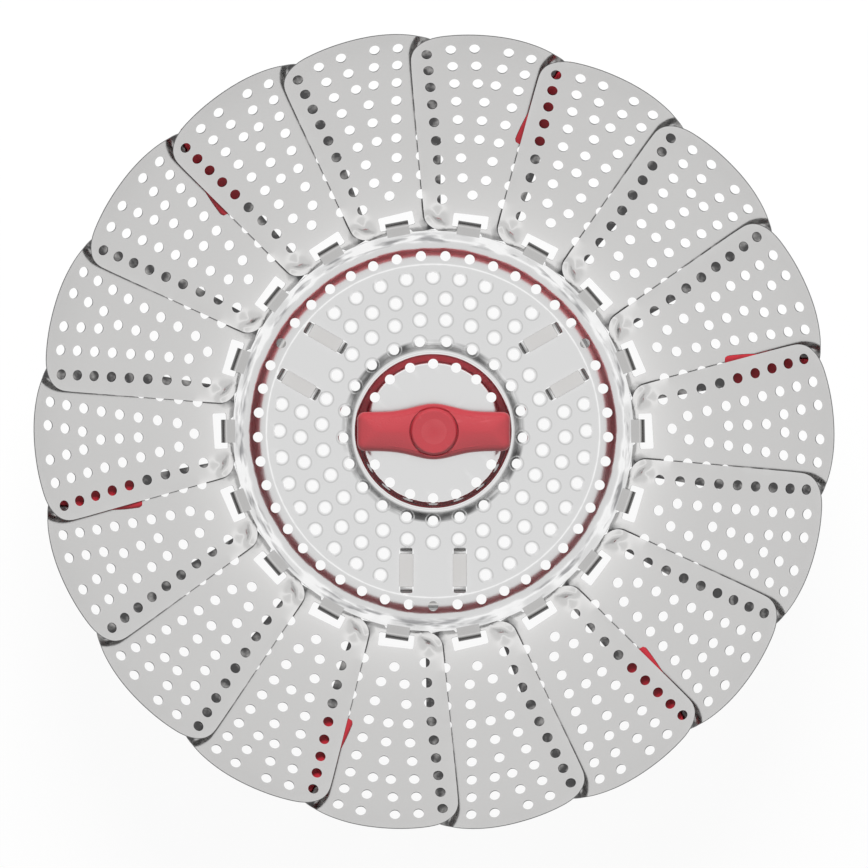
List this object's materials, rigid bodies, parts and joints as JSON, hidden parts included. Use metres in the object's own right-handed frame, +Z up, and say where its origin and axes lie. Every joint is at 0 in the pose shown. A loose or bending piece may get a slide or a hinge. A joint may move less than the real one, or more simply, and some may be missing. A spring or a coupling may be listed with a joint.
{
  "type": "steamer basket",
  "caption": "Round folding steamer basket: a perforated dish on three folding wire legs, ringed by overlapping perforated leaves that close together, with a lifting T-handle.",
  "frame": {"origin": "on the surface the feet stand on, under the middle of the dish", "axes": "+Z up; +X along the handle bar; one leg points along -Y"},
  "size_m": [0.2618, 0.2592, 0.0708],
  "materials": {
    "sheet_steel": "satin, bright",
    "wire_steel": "drawn wire, dull",
    "red_plastic": "fine satin, moulded",
    "red_silicone": "matt, soft",
    "dark_plastic": "matt, moulded"
  },
  "bodies": {
    "dish": {"base_dish": "sheet_steel", "leg_bracket_1": "sheet_steel", "leg_bracket_2": "sheet_steel", "leg_bracket_3": "sheet_steel", "stem_bush": "dark_plastic", "bush_nut": "wire_steel"},
    "handle": {"handle_bar": "red_plastic", "handle_cap": "red_plastic", "handle_screw": "wire_steel", "stem_rod": "wire_steel", "stem_stop": "wire_steel", "stop_screw": "wire_steel"},
    "leg_1": {"wire_leg_1": "wire_steel"},
    "leg_2": {"wire_leg_2": "wire_steel"},
    "leg_3": {"wire_leg_3": "wire_steel"},
    "leaf_01": {"leaf_01": "sheet_steel"},
    "leaf_02": {"leaf_02": "sheet_steel", "edge_guard_1": "red_silicone"},
    "leaf_03": {"leaf_03": "sheet_steel"},
    "leaf_04": {"leaf_04": "sheet_steel"},
    "leaf_05": {"leaf_05": "sheet_steel", "edge_guard_2": "red_silicone"},
    "leaf_06": {"leaf_06": "sheet_steel"},
    "leaf_07": {"leaf_07": "sheet_steel"},
    "leaf_08": {"leaf_08": "sheet_steel", "edge_guard_3": "red_silicone"},
    "leaf_09": {"leaf_09": "sheet_steel"},
    "leaf_10": {"leaf_10": "sheet_steel"},
    "leaf_11": {"leaf_11": "sheet_steel", "edge_guard_4": "red_silicone"},
    "leaf_12": {"leaf_12": "sheet_steel"},
    "leaf_13": {"leaf_13": "sheet_steel"},
    "leaf_14": {"leaf_14": "sheet_steel", "edge_guard_5": "red_silicone"},
    "leaf_15": {"leaf_15": "sheet_steel"},
    "leaf_16": {"leaf_16": "sheet_steel"},
    "leaf_17": {"leaf_17": "sheet_steel", "edge_guard_6": "red_silicone"},
    "leaf_18": {"leaf_18": "sheet_steel"}
  },
  "joints": [
    {"name": "leaf_01_hinge", "type": "hinge", "parent": "dish", "child": "leaf_01", "pos_m": [0.0693, 0, 0.03675], "axis": [0.1736, -0.9848, 0], "range_deg": [0, 68]},
    {"name": "leaf_02_hinge", "type": "hinge", "parent": "dish", "child": "leaf_02", "pos_m": [0.06512, 0.0237, 0.03675], "axis": [0.5, -0.866, 0], "range_deg": [0, 68]},
    {"name": "leaf_03_hinge", "type": "hinge", "parent": "dish", "child": "leaf_03", "pos_m": [0.05309, 0.04455, 0.03675], "axis": [0.766, -0.6428, 0], "range_deg": [0, 68]},
    {"name": "leaf_04_hinge", "type": "hinge", "parent": "dish", "child": "leaf_04", "pos_m": [0.03465, 0.06002, 0.03675], "axis": [0.9397, -0.342, 0], "range_deg": [0, 68]},
    {"name": "leaf_05_hinge", "type": "hinge", "parent": "dish", "child": "leaf_05", "pos_m": [0.01203, 0.06825, 0.03675], "axis": [1, 0, 0], "range_deg": [0, 68]},
    {"name": "leaf_06_hinge", "type": "hinge", "parent": "dish", "child": "leaf_06", "pos_m": [-0.01203, 0.06825, 0.03675], "axis": [0.9397, 0.342, 0], "range_deg": [0, 68]},
    {"name": "leaf_07_hinge", "type": "hinge", "parent": "dish", "child": "leaf_07", "pos_m": [-0.03465, 0.06002, 0.03675], "axis": [0.766, 0.6428, 0], "range_deg": [0, 68]},
    {"name": "leaf_08_hinge", "type": "hinge", "parent": "dish", "child": "leaf_08", "pos_m": [-0.05309, 0.04455, 0.03675], "axis": [0.5, 0.866, 0], "range_deg": [0, 68]},
    {"name": "leaf_09_hinge", "type": "hinge", "parent": "dish", "child": "leaf_09", "pos_m": [-0.06512, 0.0237, 0.03675], "axis": [0.1736, 0.9848, 0], "range_deg": [0, 68]},
    {"name": "leaf_10_hinge", "type": "hinge", "parent": "dish", "child": "leaf_10", "pos_m": [-0.0693, 0, 0.03675], "axis": [-0.1736, 0.9848, 0], "range_deg": [0, 68]},
    {"name": "leaf_11_hinge", "type": "hinge", "parent": "dish", "child": "leaf_11", "pos_m": [-0.06512, -0.0237, 0.03675], "axis": [-0.5, 0.866, 0], "range_deg": [0, 68]},
    {"name": "leaf_12_hinge", "type": "hinge", "parent": "dish", "child": "leaf_12", "pos_m": [-0.05309, -0.04455, 0.03675], "axis": [-0.766, 0.6428, 0], "range_deg": [0, 68]},
    {"name": "leaf_13_hinge", "type": "hinge", "parent": "dish", "child": "leaf_13", "pos_m": [-0.03465, -0.06002, 0.03675], "axis": [-0.9397, 0.342, 0], "range_deg": [0, 68]},
    {"name": "leaf_14_hinge", "type": "hinge", "parent": "dish", "child": "leaf_14", "pos_m": [-0.01203, -0.06825, 0.03675], "axis": [-1, 0, 0], "range_deg": [0, 68]},
    {"name": "leaf_15_hinge", "type": "hinge", "parent": "dish", "child": "leaf_15", "pos_m": [0.01203, -0.06825, 0.03675], "axis": [-0.9397, -0.342, 0], "range_deg": [0, 68]},
    {"name": "leaf_16_hinge", "type": "hinge", "parent": "dish", "child": "leaf_16", "pos_m": [0.03465, -0.06002, 0.03675], "axis": [-0.766, -0.6428, 0], "range_deg": [0, 68]},
    {"name": "leaf_17_hinge", "type": "hinge", "parent": "dish", "child": "leaf_17", "pos_m": [0.05309, -0.04455, 0.03675], "axis": [-0.5, -0.866, 0], "range_deg": [0, 68]},
    {"name": "leaf_18_hinge", "type": "hinge", "parent": "dish", "child": "leaf_18", "pos_m": [0.06512, -0.0237, 0.03675], "axis": [-0.1736, -0.9848, 0], "range_deg": [0, 68]},
    {"name": "leg_1_hinge", "type": "hinge", "parent": "dish", "child": "leg_1", "pos_m": [0.04936, 0.0285, 0.02995], "axis": [-0.5, 0.866, 0], "range_deg": [0, 98]},
    {"name": "leg_2_hinge", "type": "hinge", "parent": "dish", "child": "leg_2", "pos_m": [-0.04936, 0.0285, 0.02995], "axis": [-0.5, -0.866, 0], "range_deg": [0, 98]},
    {"name": "leg_3_hinge", "type": "hinge", "parent": "dish", "child": "leg_3", "pos_m": [0, -0.057, 0.02995], "axis": [1, 0, 0], "range_deg": [0, 98]},
    {"name": "handle_lift", "type": "slide", "parent": "dish", "child": "handle", "axis": [0, 0, 1], "range_m": [0, 0.0235]}
  ],
  "couplings": [
    {"joint": "leaf_02_hinge", "follows": "leaf_01_hinge", "ratio": 1},
    {"joint": "leaf_03_hinge", "follows": "leaf_01_hinge", "ratio": 1},
    {"joint": "leaf_04_hinge", "follows": "leaf_01_hinge", "ratio": 1},
    {"joint": "leaf_05_hinge", "follows": "leaf_01_hinge", "ratio": 1},
    {"joint": "leaf_06_hinge", "follows": "leaf_01_hinge", "ratio": 1},
    {"joint": "leaf_07_hinge", "follows": "leaf_01_hinge", "ratio": 1},
    {"joint": "leaf_08_hinge", "follows": "leaf_01_hinge", "ratio": 1},
    {"joint": "leaf_09_hinge", "follows": "leaf_01_hinge", "ratio": 1},
    {"joint": "leaf_10_hinge", "follows": "leaf_01_hinge", "ratio": 1},
    {"joint": "leaf_11_hinge", "follows": "leaf_01_hinge", "ratio": 1},
    {"joint": "leaf_12_hinge", "follows": "leaf_01_hinge", "ratio": 1},
    {"joint": "leaf_13_hinge", "follows": "leaf_01_hinge", "ratio": 1},
    {"joint": "leaf_14_hinge", "follows": "leaf_01_hinge", "ratio": 1},
    {"joint": "leaf_15_hinge", "follows": "leaf_01_hinge", "ratio": 1},
    {"joint": "leaf_16_hinge", "follows": "leaf_01_hinge", "ratio": 1},
    {"joint": "leaf_17_hinge", "follows": "leaf_01_hinge", "ratio": 1},
    {"joint": "leaf_18_hinge", "follows": "leaf_01_hinge", "ratio": 1}
  ]
}
